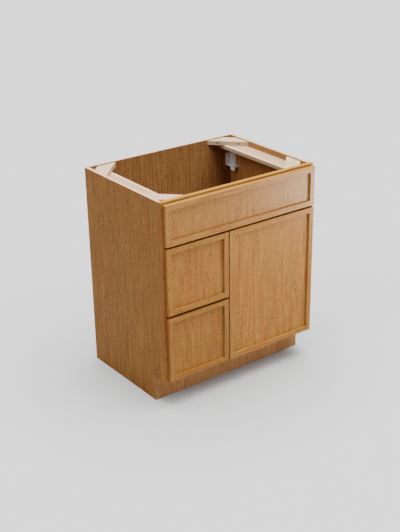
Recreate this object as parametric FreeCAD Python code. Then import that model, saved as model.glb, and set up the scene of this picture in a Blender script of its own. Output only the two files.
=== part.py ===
import FreeCAD, Part
import os

# Vanity base cabinet with a face frame, one door, two drawers and a fixed false front.
# Millimetres. +X to the right, +Y to the back, +Z up.
# The origin is on the floor, midway across the width and midway through the whole depth.

# Case
cabinet_width = 762.0
cabinet_height = 876.3
case_depth = 533.4
side_thickness = 15.875
back_thickness = 6.35
back_rabbet_width = 9.525
floor_thickness = 12.7
dado_depth = 6.35
toe_kick_height = 114.3
toe_kick_setback = 76.2
toe_board_thickness = 12.7
toe_backer_thickness = 15.875

# Face frame
frame_thickness = 19.05
outer_stile_width = 38.1
centre_stile_width = 38.1
top_rail_width = 38.1
middle_rail_width = 38.1
drawer_rail_width = 38.1
bottom_rail_width = 38.1

# Fronts
front_thickness = 19.05
front_standoff = 2.0
outer_reveal = 7.9375
false_front_height = 166.6875
false_front_gap = 7.9375
drawer_gap = 9.525
drawer_front_width = 296.8625
door_gap = 6.35
front_member_width = 22.2
panel_recess = 8.5
tongue_thickness = 4.0
tongue_depth = 6.0
face_edge_radius = 1.0
rear_edge_radius = 2.0

# Top cleats and corner blocks
cleat_width = 76.2
cleat_thickness = 15.875
block_leg = 127.0
block_clip = 41.275
block_thickness = 19.05
block_setdown = 4.7625
top_screw_hole_radius = 2.5
top_screw_inset = 44.45
block_screw_share = 0.25
block_pocket_radius = 4.5
block_pocket_depth = 9.0
block_screw_bite = 5.0

# Screws in general
screw_radius = 1.75
screw_head_radius = 3.75
screw_head_thickness = 2.0
screw_clearance = 0.1

# Drawer boxes
box_side_clearance = 4.7625
box_wall = 12.7
box_head_clearance = 25.4375
box_rear_clearance = 71.85
box_bottom_thickness = 6.35
box_groove_depth = 6.35
box_skirt = 12.7
front_screw_spread_x = 140.0
front_screw_spread_z = 90.0
front_screw_bite = 7.5

# Slides: each has a cabinet member, a middle member and a drawer member
slide_steel = 1.5
slide_floor_gap = 0.5
slide_flange_height = 9.0
slide_base_overhang = 9.0
slide_head_half = 6.0
slide_head_thickness = 2.0
slide_web_half = 1.0
slide_lower_web_height = 5.5
slide_upper_web_height = 2.5
slide_running_gap = 0.3
slide_plate_half = 12.0
slide_box_clearance = 0.5
slide_front_inset = 4.0
middle_member_inset = 10.0
middle_member_rear_inset = 61.35
drawer_member_inset = 42.0
slide_screw_inset = 11.5
slide_screw_bite = 14.0
hook_height = 14.0
hook_half_width = 5.0
hook_peg_radius = 2.5
hook_peg_hole_clearance = 0.3
hook_peg_length = 8.0
hook_peg_rise = 9.0

# Rear slide brackets
bracket_wall = 3.0
bracket_body_thickness = 7.0
bracket_reach = 22.225
bracket_body_depth = 43.0
bracket_body_height = 55.0
bracket_flange_inner = 5.0
bracket_jaw_depth = 26.0
bracket_jaw_start = 33.0
bracket_jaw_outer = 5.0
bracket_jaw_inner = 4.0
bracket_jaw_lip = 1.5
bracket_fit = 0.2
bracket_socket_end = 2.7
bracket_screw_rise_low = 9.0
bracket_screw_rise_high = 39.0
bracket_screw_reach = 11.0
bracket_screw_bite = 5.0
bracket_rib_slot_width = 8.0
bracket_rib_slot_depth = 4.0
bracket_rib_slot_shares = (0.25, 0.75)
spare_bracket_height = 729.0

# Drawer lock housings and levers
lock_plate_thickness = 3.0
lock_plate_width = 20.0
lock_plate_length = 40.0
lock_inset_from_member = 1.5
lock_pin_radius = 2.0
lock_pin_setback = 8.0
lock_pin_collar_radius = 3.2
lock_pin_collar_thickness = 1.0
lever_eye_radius = 4.5
lever_eye_clearance = 0.05
lever_thickness = 4.0
lever_arm_half = 2.5
lever_arm_length = 30.0
lever_pad_half = 4.0
lever_pad_length = 8.0
lever_pad_drop = 3.0
lever_running_gap = 0.3

# Door hinges: one pivot each, inside the cup
hinge_end_inset = 82.0
cup_radius = 17.5
cup_tab = 3.0
cup_depth = 9.4
cup_wall = 0.7
cup_flange_thickness = 1.0
cup_flange_half_height = 28.0
cup_flange_left = 13.5
cup_flange_right = 3.5
cup_screw_offset = 9.5
cup_screw_spread = 45.0
cup_screw_bite = 7.0
cup_screw_radius = 1.6
cup_screw_head_radius = 3.0
hinge_pin_radius = 1.0
hinge_pin_from_edge = 6.2
hinge_pin_from_back = 6.6
hinge_cheek_thickness = 1.6
hinge_cheek_half = 2.2
hinge_running_gap = 0.3
hinge_pin_fit = 0.02
hinge_eye_radius = 1.7
hinge_eye_clearance = 0.05
arm_thickness = 1.5
arm_half_height = 4.5
arm_base_half_height = 22.0
arm_base_inset = 1.5
arm_screw_spread = 30.0
arm_screw_bite = 14.0

# Bumper pads and false-front spacers
bumper_radius = 4.0
bumper_inset = 8.0
spacer_radius = 7.0
spacer_inset_x = 19.05
spacer_cleat_gap = 8.0
spacer_bottom_inset = 8.0
false_screw_bite = 7.5

# One overrun serves every cut that has to run past a face,
# and one tolerance tells which edges lie in a plane.
cut_overrun = 1.0
plane_tolerance = 0.01

# Places worked out from the sizes above
half_width = cabinet_width / 2
total_depth = case_depth + front_standoff + front_thickness
case_back_y = total_depth / 2
case_front_y = case_back_y - case_depth
frame_back_y = case_front_y + frame_thickness
back_inner_y = case_back_y - back_thickness
fronts_back_y = case_front_y - front_standoff
fronts_face_y = fronts_back_y - front_thickness
panel_face_y = fronts_face_y + panel_recess
panel_thickness = front_thickness - panel_recess
tongue_front_y = panel_face_y + (panel_thickness - tongue_thickness) / 2
tongue_back_y = tongue_front_y + tongue_thickness
side_inner_x = half_width - side_thickness
opening_edge_x = half_width - outer_stile_width

fronts_top_z = cabinet_height - outer_reveal
false_bottom_z = fronts_top_z - false_front_height
fronts_low_top_z = false_bottom_z - false_front_gap
fronts_bottom_z = toe_kick_height + outer_reveal
drawer_front_height = (fronts_low_top_z - fronts_bottom_z - drawer_gap) / 2
fronts_left_x = -half_width + outer_reveal
fronts_right_x = half_width - outer_reveal
drawer_right_x = fronts_left_x + drawer_front_width
door_left_x = drawer_right_x + door_gap
centre_x = (drawer_right_x + door_left_x) / 2
centre_left_x = centre_x - centre_stile_width / 2
centre_right_x = centre_x + centre_stile_width / 2

top_rail_bottom_z = cabinet_height - top_rail_width
middle_rail_centre_z = (false_bottom_z + fronts_low_top_z) / 2
middle_rail_top_z = middle_rail_centre_z + middle_rail_width / 2
middle_rail_bottom_z = middle_rail_centre_z - middle_rail_width / 2
bottom_rail_top_z = toe_kick_height + bottom_rail_width
drawer_rail_centre_z = fronts_bottom_z + drawer_front_height + drawer_gap / 2
drawer_rail_top_z = drawer_rail_centre_z + drawer_rail_width / 2
drawer_rail_bottom_z = drawer_rail_centre_z - drawer_rail_width / 2

toe_face_y = case_front_y + toe_kick_setback
toe_backer_y = toe_face_y + toe_board_thickness
floor_top_z = bottom_rail_top_z
floor_bottom_z = floor_top_z - floor_thickness

block_top_z = cabinet_height - block_setdown
block_bottom_z = block_top_z - block_thickness
cleat_bottom_z = block_bottom_z - cleat_thickness

# Heights in a slide, counted from the underside of the cabinet member
lower_head_z = slide_steel + slide_lower_web_height
middle_top_z = lower_head_z + slide_head_thickness + slide_running_gap + slide_steel
upper_head_z = middle_top_z + slide_upper_web_height
slide_height = upper_head_z + slide_head_thickness + slide_running_gap + slide_steel
slide_channel_half = slide_head_half + slide_running_gap + slide_steel
slide_centre_offset = box_side_clearance + box_wall + slide_box_clearance + slide_plate_half
bracket_jaw_back_y = back_inner_y - bracket_jaw_start
bracket_jaw_front_y = bracket_jaw_back_y - bracket_jaw_depth
slide_rear_y = bracket_jaw_back_y - bracket_socket_end
slide_front_y = case_front_y + slide_front_inset
middle_front_y = case_front_y + middle_member_inset
middle_back_y = slide_rear_y - middle_member_rear_inset

# Both drawer boxes are the same. Their height comes from the lower of the two openings.
box_rise = slide_floor_gap + bracket_wall + slide_height - box_skirt
upper_opening_height = middle_rail_bottom_z - drawer_rail_top_z
lower_opening_height = drawer_rail_bottom_z - bottom_rail_top_z
box_height = min(upper_opening_height, lower_opening_height) - box_rise - box_head_clearance
box_front_y = fronts_back_y
box_back_y = back_inner_y - box_rear_clearance

hinge_pin_x = fronts_right_x - hinge_pin_from_edge
hinge_pin_y = fronts_back_y - hinge_pin_from_back
cup_centre_x = fronts_right_x - cup_tab - cup_radius

nodes = {}


def vector(x, y, z):
    return FreeCAD.Vector(x, y, z)


def board(x0, x1, y0, y1, z0, z1):
    """A box between two corners, given in any order."""
    low = vector(min(x0, x1), min(y0, y1), min(z0, z1))
    return Part.makeBox(abs(x1 - x0), abs(y1 - y0), abs(z1 - z0), low)


def rod(axis, x, y, z, radius, length):
    """A round bar that starts at x, y, z and runs along the axis; a negative length runs back."""
    direction = {"x": vector(1, 0, 0), "y": vector(0, 1, 0), "z": vector(0, 0, 1)}[axis]
    if length < 0:
        direction = direction * -1
    return Part.makeCylinder(radius, abs(length), vector(x, y, z), direction)


def joined(shapes):
    """Several touching shapes as one solid."""
    whole = shapes[0]
    for shape in shapes[1:]:
        whole = whole.fuse(shape)
    return whole.removeSplitter()


def outline_prism(points, z0, z1):
    """A closed outline in plan, raised from z0 to z1."""
    corners = [vector(x, y, z0) for x, y in points]
    wire = Part.makePolygon(corners + corners[:1])
    return Part.Face(wire).extrude(vector(0, 0, z1 - z0))


def screw(axis, x, y, z, length, head_out):
    """A pan-head screw. x, y, z is under the head, the shank runs along the axis by length,
    and head_out is the sign of the side that the head stands on."""
    shank = rod(axis, x, y, z, screw_radius, length)
    head = rod(axis, x, y, z, screw_head_radius, head_out * screw_head_thickness)
    return joined([shank, head])


def screw_hole(axis, x, y, z, length):
    """The clearance hole for a screw's shank, from under its head to its tip."""
    return rod(axis, x, y, z, screw_radius + screw_clearance, length)


def edges_at_y(shape, y):
    """The edges of a box that lie in the plane at y."""
    return [e for e in shape.Edges if all(abs(v.Point.y - y) < plane_tolerance for v in e.Vertexes)]


def shaker_front(x0, x1, z0, z1):
    """A slim framed front: two stiles, two rails and a recessed panel held by tongues.
    Returns the frame's four members and the panel."""
    width = front_member_width
    blank = board(x0, x1, fronts_face_y, fronts_back_y, z0, z1)
    blank = blank.makeFillet(face_edge_radius, edges_at_y(blank, fronts_face_y))
    blank = blank.makeFillet(rear_edge_radius, edges_at_y(blank, fronts_back_y))
    groove_left = board(x0 + width - tongue_depth, x0 + width, tongue_front_y, tongue_back_y, z0, z1)
    groove_right = board(x1 - width, x1 - width + tongue_depth, tongue_front_y, tongue_back_y, z0, z1)
    left_stile = board(x0, x0 + width, fronts_face_y, fronts_back_y, z0, z1)
    left_stile = left_stile.common(blank).cut(groove_left)
    right_stile = board(x1 - width, x1, fronts_face_y, fronts_back_y, z0, z1)
    right_stile = right_stile.common(blank).cut(groove_right)
    panel_tongue = board(
        x0 + width - tongue_depth, x1 - width + tongue_depth, tongue_front_y, tongue_back_y,
        z0 + width - tongue_depth, z1 - width + tongue_depth)
    rails = []
    for low, high in ((z0, z0 + width), (z1 - width, z1)):
        between = board(x0 + width, x1 - width, fronts_face_y, fronts_back_y, low, high)
        tenons = board(
            x0 + width - tongue_depth, x1 - width + tongue_depth,
            tongue_front_y, tongue_back_y, low, high)
        rails.append(joined([between, tenons]).common(blank).cut(panel_tongue))
    field = board(x0 + width, x1 - width, panel_face_y, fronts_back_y, z0 + width, z1 - width)
    panel = joined([field, panel_tongue])
    return [left_stile, right_stile] + rails, panel


# The sides have a toe notch, a dado for the floor and a rabbet for the back panel.
def side_panel(sign):
    outer = sign * half_width
    inner = sign * side_inner_x
    panel = board(inner, outer, frame_back_y, case_back_y, 0, cabinet_height)
    notch = board(
        inner - sign * cut_overrun, outer + sign * cut_overrun,
        frame_back_y - cut_overrun, toe_backer_y, -cut_overrun, toe_kick_height)
    dado = board(
        inner, inner + sign * dado_depth, frame_back_y, back_inner_y, floor_bottom_z, floor_top_z)
    rabbet = board(
        inner, inner + sign * back_rabbet_width, back_inner_y, case_back_y, 0, cabinet_height)
    return panel.cut(notch).cut(dado).cut(rabbet)


nodes["left_side_panel"] = side_panel(-1)
nodes["right_side_panel"] = side_panel(1)

back_half = side_inner_x + back_rabbet_width
nodes["back_panel"] = board(-back_half, back_half, back_inner_y, case_back_y, 0, cabinet_height)

floor_half = side_inner_x + dado_depth
nodes["cabinet_floor"] = board(
    -floor_half, floor_half, frame_back_y, back_inner_y, floor_bottom_z, floor_top_z)

# The toe-kick board covers the full width; its backer stands between the sides under the floor.
nodes["toe_kick_board"] = board(
    -half_width, half_width, toe_face_y, toe_backer_y, 0, toe_kick_height)
nodes["toe_kick_backer"] = board(
    -side_inner_x, side_inner_x, toe_backer_y, toe_backer_y + toe_backer_thickness,
    0, floor_bottom_z)


# Face frame
def frame_member(x0, x1, z0, z1):
    return board(x0, x1, case_front_y, frame_back_y, z0, z1)


nodes["left_stile"] = frame_member(-half_width, -opening_edge_x, toe_kick_height, cabinet_height)
nodes["right_stile"] = frame_member(opening_edge_x, half_width, toe_kick_height, cabinet_height)
nodes["top_rail"] = frame_member(
    -opening_edge_x, opening_edge_x, top_rail_bottom_z, cabinet_height)
nodes["middle_rail"] = frame_member(
    -opening_edge_x, opening_edge_x, middle_rail_bottom_z, middle_rail_top_z)
nodes["bottom_rail"] = frame_member(
    -opening_edge_x, opening_edge_x, toe_kick_height, bottom_rail_top_z)
nodes["centre_stile"] = frame_member(
    centre_left_x, centre_right_x, bottom_rail_top_z, middle_rail_bottom_z)
nodes["drawer_rail"] = frame_member(
    -opening_edge_x, centre_left_x, drawer_rail_bottom_z, drawer_rail_top_z)

# Flat cleats along the top of each side
for name, sign in (("left_top_cleat", -1), ("right_top_cleat", 1)):
    nodes[name] = board(
        sign * side_inner_x, sign * (side_inner_x - cleat_width), frame_back_y, back_inner_y,
        cleat_bottom_z, block_bottom_z)

# Corner blocks: triangles with the right angle clipped off, lying on the cleats.
# Each is drilled for a screw up into the top, and screwed to the two boards that it meets.
block_screws = []
for name, x_sign, y_sign in (
        ("rear_left_corner_block", -1, 1), ("rear_right_corner_block", 1, 1),
        ("front_left_corner_block", -1, -1), ("front_right_corner_block", 1, -1)):
    corner_x = x_sign * side_inner_x
    corner_y = back_inner_y if y_sign > 0 else frame_back_y
    outline_legs = ((block_clip, 0), (block_leg, 0), (0, block_leg), (0, block_clip))
    outline = [(corner_x - x_sign * a, corner_y - y_sign * b) for a, b in outline_legs]
    block = outline_prism(outline, block_bottom_z, block_top_z)
    middle_z = (block_bottom_z + block_top_z) / 2
    near = block_leg * block_screw_share
    far = block_leg - near
    bite_y = block_screw_bite if y_sign > 0 else frame_thickness - block_screw_bite
    # One screw crosses the block to the side panel, and one to the back panel or the frame.
    side_start = corner_x - x_sign * (near - block_pocket_depth)
    side_length = x_sign * (near - block_pocket_depth + side_thickness - block_screw_bite)
    side_y = corner_y - y_sign * far
    end_start = corner_y - y_sign * (near - block_pocket_depth)
    end_length = y_sign * (near - block_pocket_depth + bite_y)
    end_x = corner_x - x_sign * far
    pockets = [
        rod("x", side_start, side_y, middle_z, block_pocket_radius, -x_sign * block_leg),
        rod("y", end_x, end_start, middle_z, block_pocket_radius, -y_sign * block_leg)]
    holes = [
        screw_hole("x", side_start, side_y, middle_z, side_length),
        screw_hole("y", end_x, end_start, middle_z, end_length)]
    for tool in pockets + holes:
        block = block.cut(tool)
    block_screws.append(screw("x", side_start, side_y, middle_z, side_length, -x_sign))
    block_screws.append(screw("y", end_x, end_start, middle_z, end_length, -y_sign))
    panel_name = "right_side_panel" if x_sign > 0 else "left_side_panel"
    end_name = "back_panel" if y_sign > 0 else "top_rail"
    nodes[panel_name] = nodes[panel_name].cut(holes[0])
    nodes[end_name] = nodes[end_name].cut(holes[1])
    # The screw hole for the top runs through the block and the cleat below it.
    top_hole = rod(
        "z", corner_x - x_sign * top_screw_inset, corner_y - y_sign * top_screw_inset,
        cleat_bottom_z - cut_overrun, top_screw_hole_radius,
        block_top_z - cleat_bottom_z + 2 * cut_overrun)
    cleat_name = "right_top_cleat" if x_sign > 0 else "left_top_cleat"
    nodes[cleat_name] = nodes[cleat_name].cut(top_hole)
    nodes[name] = block.cut(top_hole)
nodes["block_screws"] = Part.makeCompound(block_screws)

hardware_screws = []

# False front, held off the frame by four spacers with a screw through each
members, panel = shaker_front(fronts_left_x, fronts_right_x, false_bottom_z, fronts_top_z)
spacers = []
for x in (fronts_left_x + spacer_inset_x, fronts_right_x - spacer_inset_x):
    for z in (cleat_bottom_z - spacer_cleat_gap, false_bottom_z + spacer_bottom_inset):
        length = frame_thickness + front_standoff + false_screw_bite
        hole = screw_hole("y", x, frame_back_y, z, -length)
        spacer = rod("y", x, case_front_y, z, spacer_radius, -front_standoff)
        spacers.append(spacer.cut(hole))
        stile_name = "left_stile" if x < 0 else "right_stile"
        nodes[stile_name] = nodes[stile_name].cut(hole)
        members = [member.cut(hole) for member in members]
        panel = panel.cut(hole)
        hardware_screws.append(screw("y", x, frame_back_y, z, -length, 1))
nodes["false_front_frame"] = Part.makeCompound(members)
nodes["false_front_panel"] = panel
nodes["false_front_spacers"] = Part.makeCompound(spacers)


# Slides. x is measured from the edge of the drawer opening towards the drawer's middle.
def cabinet_member(edge_x, inward, base_z):
    centre = edge_x + inward * slide_centre_offset
    base = board(
        edge_x, centre + inward * slide_base_overhang, slide_front_y, slide_rear_y,
        base_z, base_z + slide_steel)
    flange = board(
        edge_x, edge_x + inward * slide_steel, slide_front_y, slide_rear_y,
        base_z, base_z + slide_flange_height)
    web = board(
        centre - slide_web_half, centre + slide_web_half, slide_front_y, slide_rear_y,
        base_z, base_z + lower_head_z)
    head = board(
        centre - slide_head_half, centre + slide_head_half, slide_front_y, slide_rear_y,
        base_z + lower_head_z, base_z + lower_head_z + slide_head_thickness)
    return joined([base, flange, web, head])


def channel(centre, y0, y1, head_z):
    """The C-shaped part of a member that runs on a head whose underside is at head_z."""
    outer_low = head_z - slide_running_gap - slide_steel
    outer_high = head_z + slide_head_thickness + slide_running_gap + slide_steel
    outer = board(centre - slide_channel_half, centre + slide_channel_half, y0, y1, outer_low, outer_high)
    room = slide_head_half + slide_running_gap
    cavity = board(
        centre - room, centre + room, y0, y1,
        head_z - slide_running_gap, outer_high - slide_steel)
    mouth_half = slide_web_half + slide_running_gap
    mouth = board(centre - mouth_half, centre + mouth_half, y0, y1, outer_low, head_z)
    return outer.cut(cavity).cut(mouth)


def middle_member(edge_x, inward, base_z):
    centre = edge_x + inward * slide_centre_offset
    runner = channel(centre, middle_front_y, middle_back_y, base_z + lower_head_z)
    web = board(
        centre - slide_web_half, centre + slide_web_half, middle_front_y, middle_back_y,
        base_z + middle_top_z, base_z + upper_head_z)
    head = board(
        centre - slide_head_half, centre + slide_head_half, middle_front_y, middle_back_y,
        base_z + upper_head_z, base_z + upper_head_z + slide_head_thickness)
    return joined([runner, web, head])


def drawer_member(edge_x, inward, base_z):
    """The member under the drawer bottom, with a hook that pegs into the box back."""
    centre = edge_x + inward * slide_centre_offset
    y0 = box_front_y + drawer_member_inset
    y1 = box_back_y + slide_running_gap + slide_steel
    top_z = base_z + slide_height
    runner = channel(centre, y0, y1, base_z + upper_head_z)
    plate = board(
        centre - slide_plate_half, centre + slide_plate_half, y0, y1, top_z - slide_steel, top_z)
    tab = board(
        centre - hook_half_width, centre + hook_half_width, y1 - slide_steel, y1,
        top_z - slide_steel, top_z + hook_height)
    peg = rod("y", centre, y1 - slide_steel, top_z + hook_peg_rise, hook_peg_radius, -hook_peg_length)
    return joined([runner, plate, tab, peg])


def slide_screw(edge_x, inward, base_z):
    """The screw that holds the front of a cabinet member to the stile: screw and its hole."""
    head_face = edge_x + inward * slide_steel
    y = case_front_y + slide_screw_inset
    z = base_z + slide_steel + (slide_flange_height - slide_steel) / 2
    length = -inward * (slide_steel + slide_screw_bite)
    return screw("x", head_face, y, z, length, inward), screw_hole("x", head_face, y, z, length)


def rear_bracket(edge_x, inward, base_z):
    """The plastic bracket on the back panel whose jaws hold the rear of a cabinet member.
    Returns the bracket, its two screws and their holes."""
    outer_x = edge_x - inward * bracket_reach
    body_x = outer_x + inward * bracket_body_thickness
    jaw_low = base_z - bracket_wall
    shelf_low = base_z + slide_flange_height + bracket_fit
    shelf_high = shelf_low + bracket_wall
    body_top = shelf_high + bracket_body_height
    jaw_out_x = edge_x - inward * bracket_jaw_outer
    jaw_in_x = edge_x + inward * bracket_jaw_inner
    body = board(
        outer_x, body_x, back_inner_y - bracket_body_depth, back_inner_y, shelf_low, body_top)
    for share in bracket_rib_slot_shares:
        slot_y = back_inner_y - bracket_body_depth * share
        slot = board(
            body_x - inward * bracket_rib_slot_depth, body_x + inward * cut_overrun,
            slot_y - bracket_rib_slot_width / 2, slot_y + bracket_rib_slot_width / 2,
            shelf_high + bracket_wall, body_top - bracket_wall)
        body = body.cut(slot)
    flange = board(
        body_x, edge_x + inward * bracket_flange_inner, back_inner_y - bracket_wall, back_inner_y,
        shelf_low, body_top - bracket_wall)
    shelf = board(outer_x, jaw_in_x, bracket_jaw_front_y, back_inner_y, shelf_low, shelf_high)
    jaws = board(jaw_out_x, jaw_in_x, bracket_jaw_front_y, bracket_jaw_back_y, jaw_low, shelf_high)
    base_slot = board(
        edge_x, jaw_in_x + inward * cut_overrun,
        bracket_jaw_front_y - cut_overrun, slide_rear_y + bracket_fit,
        base_z, base_z + slide_steel + bracket_fit)
    flange_slot = board(
        edge_x, edge_x + inward * (slide_steel + bracket_fit),
        bracket_jaw_front_y - cut_overrun, slide_rear_y + bracket_fit,
        base_z, base_z + slide_flange_height + bracket_fit)
    mouth = board(
        jaw_in_x - inward * bracket_jaw_lip, jaw_in_x + inward * cut_overrun,
        bracket_jaw_front_y - cut_overrun, slide_rear_y + bracket_fit,
        base_z, base_z + slide_flange_height + bracket_fit)
    bracket = joined([body, flange, shelf, jaws]).cut(base_slot).cut(flange_slot).cut(mouth)
    screws = []
    holes = []
    screw_x = edge_x - inward * bracket_screw_reach
    for rise in (bracket_screw_rise_low, bracket_screw_rise_high):
        length = bracket_wall + bracket_screw_bite
        place = (screw_x, back_inner_y - bracket_wall, shelf_high + rise)
        screws.append(screw("y", *place, length, -1))
        holes.append(screw_hole("y", *place, length))
    for hole in holes:
        bracket = bracket.cut(hole)
    return bracket, screws, holes


brackets = []


def fit_bracket(edge_x, inward, base_z):
    bracket, screws, holes = rear_bracket(edge_x, inward, base_z)
    brackets.append(bracket)
    hardware_screws.extend(screws)
    for hole in holes:
        nodes["back_panel"] = nodes["back_panel"].cut(hole)


# The spare bracket stands in the right rear corner, behind the false front.
fit_bracket(opening_edge_x, -1, spare_bracket_height + bracket_wall)


def lock(edge_x, inward, top_z):
    """A lock under the drawer bottom, beside a drawer member: its housing and its lever.
    The lever turns on a pin of the housing and its pad is pushed towards the drawer's side."""
    member_edge = edge_x + inward * (slide_centre_offset + slide_plate_half)
    near_x = member_edge + inward * lock_inset_from_member
    far_x = near_x + inward * lock_plate_width
    y0 = box_front_y + box_wall
    plate_low = top_z - lock_plate_thickness
    plate = board(near_x, far_x, y0, y0 + lock_plate_length, plate_low, top_z)
    pin_x = (near_x + far_x) / 2
    pin_y = y0 + lock_pin_setback
    lever_high = plate_low - lever_running_gap
    lever_low = lever_high - lever_thickness
    pin_end = lever_low - lever_running_gap
    pin = rod("z", pin_x, pin_y, pin_end, lock_pin_radius, plate_low - pin_end)
    collar = rod(
        "z", pin_x, pin_y, pin_end - lock_pin_collar_thickness, lock_pin_collar_radius,
        lock_pin_collar_thickness)
    housing = joined([plate, pin, collar])
    eye = rod("z", pin_x, pin_y, lever_low, lever_eye_radius, lever_thickness)
    arm = board(
        pin_x - lever_arm_half, pin_x + lever_arm_half, pin_y, pin_y + lever_arm_length,
        lever_low, lever_high)
    pad = board(
        pin_x - lever_pad_half, pin_x + lever_pad_half,
        pin_y + lever_arm_length - lever_pad_length, pin_y + lever_arm_length,
        lever_low - lever_pad_drop, lever_high)
    bore = rod(
        "z", pin_x, pin_y, lever_low - cut_overrun, lock_pin_radius + lever_eye_clearance,
        lever_thickness + 2 * cut_overrun)
    lever = joined([eye, arm, pad]).cut(bore)
    return housing, lever, (pin_x, pin_y)


lock_places = {}


# Drawers. Each box hangs on its slides in its own opening of the face frame.
def drawer(name, opening_bottom_z, front_bottom_z):
    base_z = opening_bottom_z + slide_floor_gap + bracket_wall
    bottom_z = base_z + slide_height
    skirt_z = bottom_z - box_skirt
    top_z = skirt_z + box_height
    left_edge = -opening_edge_x
    right_edge = centre_left_x
    left_out = left_edge + box_side_clearance
    right_out = right_edge - box_side_clearance
    left_in = left_out + box_wall
    right_in = right_out - box_wall
    floor_high = bottom_z + box_bottom_thickness

    groove = board(
        left_in - box_groove_depth, right_in + box_groove_depth,
        box_front_y + box_wall - box_groove_depth, box_back_y, bottom_z, floor_high)
    left_side = board(left_out, left_in, box_front_y, box_back_y, skirt_z, top_z).cut(groove)
    right_side = board(right_in, right_out, box_front_y, box_back_y, skirt_z, top_z).cut(groove)
    box_front = board(left_in, right_in, box_front_y, box_front_y + box_wall, bottom_z, top_z)
    box_front = box_front.cut(groove)
    box_back = board(left_in, right_in, box_back_y - box_wall, box_back_y, floor_high, top_z)

    members, panel = shaker_front(
        fronts_left_x, drawer_right_x, front_bottom_z, front_bottom_z + drawer_front_height)
    screws = []
    middle_x = (left_in + right_in) / 2
    middle_z = (floor_high + top_z) / 2
    for x in (middle_x - front_screw_spread_x / 2, middle_x + front_screw_spread_x / 2):
        for z in (middle_z - front_screw_spread_z / 2, middle_z + front_screw_spread_z / 2):
            length = -(box_wall + front_screw_bite)
            hole = screw_hole("y", x, box_front_y + box_wall, z, length)
            box_front = box_front.cut(hole)
            panel = panel.cut(hole)
            screws.append(screw("y", x, box_front_y + box_wall, z, length, 1))

    fixed = []
    middles = []
    moving = []
    housings = []
    for side, edge_x, inward in (("left", left_edge, 1), ("right", right_edge, -1)):
        middles.append(middle_member(edge_x, inward, base_z))
        moving.append(drawer_member(edge_x, inward, base_z))
        fit_bracket(edge_x, inward, base_z)
        front_screw, hole = slide_screw(edge_x, inward, base_z)
        hardware_screws.append(front_screw)
        stile_name = "left_stile" if side == "left" else "centre_stile"
        nodes[stile_name] = nodes[stile_name].cut(hole)
        fixed.append(cabinet_member(edge_x, inward, base_z).cut(hole))
        peg_hole = rod(
            "y", edge_x + inward * slide_centre_offset, box_back_y + cut_overrun,
            bottom_z + hook_peg_rise, hook_peg_radius + hook_peg_hole_clearance,
            -(hook_peg_length + cut_overrun))
        box_back = box_back.cut(peg_hole)
        housing, lever, place = lock(edge_x, inward, bottom_z)
        housings.append(housing)
        nodes[name + "_" + side + "_lock_lever"] = lever
        lock_places[name + "_" + side] = place

    nodes[name + "_drawer_front_frame"] = Part.makeCompound(members)
    nodes[name + "_drawer_front_panel"] = panel
    nodes[name + "_drawer_left_side"] = left_side
    nodes[name + "_drawer_right_side"] = right_side
    nodes[name + "_drawer_box_front"] = box_front
    nodes[name + "_drawer_box_back"] = box_back
    nodes[name + "_drawer_bottom"] = groove
    nodes[name + "_drawer_screws"] = Part.makeCompound(screws)
    nodes[name + "_drawer_slide_members"] = Part.makeCompound(moving)
    nodes[name + "_drawer_lock_housings"] = Part.makeCompound(housings)
    nodes[name + "_slide_middle_members"] = Part.makeCompound(middles)
    nodes[name + "_slide_cabinet_members"] = Part.makeCompound(fixed)


drawer("upper", drawer_rail_top_z, fronts_low_top_z - drawer_front_height)
drawer("lower", bottom_rail_top_z, fronts_bottom_z)
nodes["slide_rear_brackets"] = Part.makeCompound(brackets)

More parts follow.
